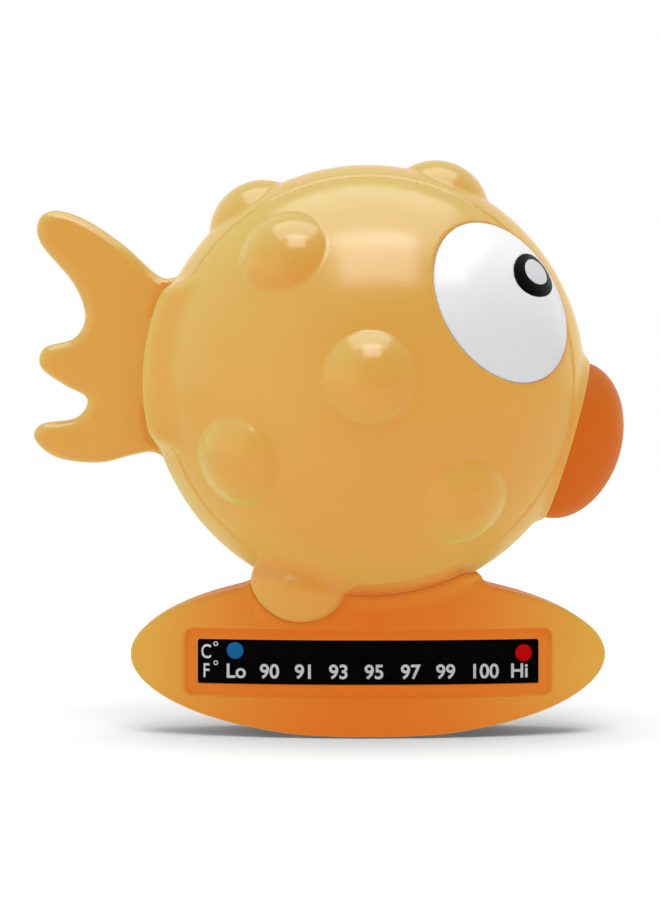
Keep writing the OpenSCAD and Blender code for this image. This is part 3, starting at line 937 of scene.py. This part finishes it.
def brushed_steel():
    n = Nodes("steel")
    stretch = n.add("ShaderNodeMapping", Vector=n.place, Scale=(1, 1, 12))
    grain = n.add("ShaderNodeTexNoise", Vector=stretch.outputs["Vector"], Scale=600.0).outputs["Fac"]
    colour = n.blend(grain, linear("#b9bcc0"), linear("#d2d4d6"))
    n.set(Base_Color=colour, Metallic=1.0, Roughness=n.between(grain, 0.25, 0.45))
    n.bump(grain, 0.15, 0.00005)
    return n.material


NODE_SLOTS = {
    "body_plastic": ("centre_band", "front_side_shell", "rear_side_shell", "tail_fin"),
    "base_plastic": ("base_shell", "bottom_cover"),
    "mouth_plastic": ("mouth",),
    "eye_white": ("front_eye", "rear_eye"),
    "pupil_black": ("front_pupil", "rear_pupil"),
    "glint_grey": ("front_glint", "rear_glint"),
    "scale_black": ("scale_film",),
    "crystal": ("crystal_film",),
    "cold_blue": ("cold_mark",),
    "hot_red": ("hot_mark",),
    "window_clear": ("strip_window",),
    "pad": ("strip_pad",),
    "seal_rubber": ("neck_seal", "cover_seal"),
    "steel": (
        "tail_pins", "eye_clips", "mouth_clip", "neck_screws", "ballast_screws", "cover_screws",
        "ballast_weight",
    ),
}


def dress():
    materials = make_materials()
    for slot, names in NODE_SLOTS.items():
        for name in names:
            for target in (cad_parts[name], shown.get(name)):
                if target is not None:
                    target.data.materials.clear()
                    target.data.materials.append(materials[slot])
    numbers = shown["numbers"]
    numbers.data.materials.append(materials["print_grey"])
    for made in shown.values():
        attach(made, "root")


dress()


# ---- floor, light and camera ----

# floor glow: painted light, weak near the object and full away from it; its darker colour in reflections
# is painted too
FLOOR_GLOW = 0.1
FLOOR_GLOW_FROM = 0.1
FLOOR_GLOW_TO = 0.5
FLOOR_PAINTED_REFLECTION = "#989898"
FLOOR_FRONT = 0.26
FLOOR_REACH = 6.0


def map_range(node, values):
    for key, value in zip(("From Min", "From Max", "To Min", "To Max"), values):
        node.inputs[key].default_value = value


def floor():
    """Pale floor with a painted glow that is weak near the object, as painted shade round it, and
    brightens to plain white away from it; it is painted darker in reflections.
    """
    mesh = bpy.data.meshes.new("floor")
    reach = FLOOR_REACH
    corners = [(-reach, -FLOOR_FRONT, 0), (reach, -FLOOR_FRONT, 0), (reach, reach, 0), (-reach, reach, 0)]
    mesh.from_pydata(corners, [], [(0, 1, 2, 3)])
    made = bpy.data.objects.new("floor", mesh)
    bpy.context.scene.collection.objects.link(made)
    made.location.z = cad_box[0][2] - 0.0002
    n = Nodes("floor")
    away = n.add("ShaderNodeVectorMath", Vector=n.place)
    away.operation = "LENGTH"
    glow = n.add("ShaderNodeMapRange", Value=away.outputs["Value"])
    map_range(glow, (FLOOR_GLOW_FROM, FLOOR_GLOW_TO, FLOOR_GLOW, 1.0))
    tone = n.blend(n.noise(3.0), linear("#e4e4e4"), linear("#e8e8e8"))
    glossy = n.tree.nodes.new("ShaderNodeLightPath").outputs["Is Glossy Ray"]
    n.set(Base_Color=n.blend(glossy, tone, linear(FLOOR_PAINTED_REFLECTION)), Roughness=0.9)
    strength = n.math("MULTIPLY", glow.outputs["Result"], n.math("SUBTRACT", 1.0, glossy))
    n.set(Specular_IOR_Level=0.0, Emission_Color=(1, 1, 1, 1), Emission_Strength=strength)
    mesh.materials.append(n.material)


def softbox(name, azimuth, elevation, distance, width, height, radiance):
    """Rectangular light facing the object; azimuth 0 is the camera's side, positive towards +X."""
    a, e = math.radians(azimuth), math.radians(elevation)
    target = Vector(CENTRE) * MM
    away = Vector((math.sin(a) * math.cos(e), -math.cos(a) * math.cos(e), math.sin(e)))
    lamp = bpy.data.lights.new(name, "AREA")
    lamp.shape = "RECTANGLE"
    lamp.size = width
    lamp.size_y = height
    lamp.energy = radiance * math.pi * width * height
    made = bpy.data.objects.new(name, lamp)
    made.location = target + away * distance
    made.rotation_euler = away.to_track_quat("Z", "Y").to_euler()
    bpy.context.scene.collection.objects.link(made)


RIGHT_SHADE = 0.9


def surroundings(dark, bright):
    """White all round, darker by the camera and at the right; plain white where the camera sees it."""
    world = bpy.data.worlds.new("white_room")
    world.use_nodes = True
    tree = world.node_tree
    place = tree.nodes.new("ShaderNodeTexCoord")
    axes = tree.nodes.new("ShaderNodeSeparateXYZ")
    fade = tree.nodes.new("ShaderNodeMapRange")
    path = tree.nodes.new("ShaderNodeLightPath")
    seen = tree.nodes.new("ShaderNodeMath")
    seen.operation = "MAXIMUM"
    tree.links.new(place.outputs["Generated"], axes.inputs["Vector"])
    side = tree.nodes.new("ShaderNodeMath")
    side.operation = "MULTIPLY_ADD"
    side.inputs[1].default_value = -RIGHT_SHADE
    tree.links.new(axes.outputs["X"], side.inputs[0])
    tree.links.new(axes.outputs["Y"], side.inputs[2])
    tree.links.new(side.outputs["Value"], fade.inputs["Value"])
    map_range(fade, (-0.9, -0.2, dark, bright))
    tree.links.new(fade.outputs["Result"], seen.inputs[0])
    tree.links.new(path.outputs["Is Camera Ray"], seen.inputs[1])
    tree.links.new(seen.outputs["Value"], tree.nodes["Background"].inputs["Strength"])
    tree.nodes["Background"].inputs["Color"].default_value = (1, 1, 1, 1)
    bpy.context.scene.world = world


CAMERA_AT = (-8.64, -550.0, 64.5)
FOCAL_SHARE = 2387 / 900


def camera():
    data = bpy.data.cameras.new("camera")
    data.sensor_fit = "VERTICAL"
    data.sensor_height = 36
    data.lens = 36 * FOCAL_SHARE
    made = bpy.data.objects.new("camera", data)
    made.location = [c * MM for c in CAMERA_AT]
    made.rotation_euler = (math.radians(90), 0, 0)
    bpy.context.scene.collection.objects.link(made)
    bpy.context.scene.camera = made


floor()
surroundings(dark=0.12, bright=0.7)
softbox("key", azimuth=6, elevation=56, distance=1.2, width=0.66, height=0.6, radiance=4.2)
softbox("top", azimuth=0, elevation=86, distance=1.1, width=1.2, height=1.0, radiance=2.4)
camera()
bpy.context.scene.view_settings.view_transform = "Standard"
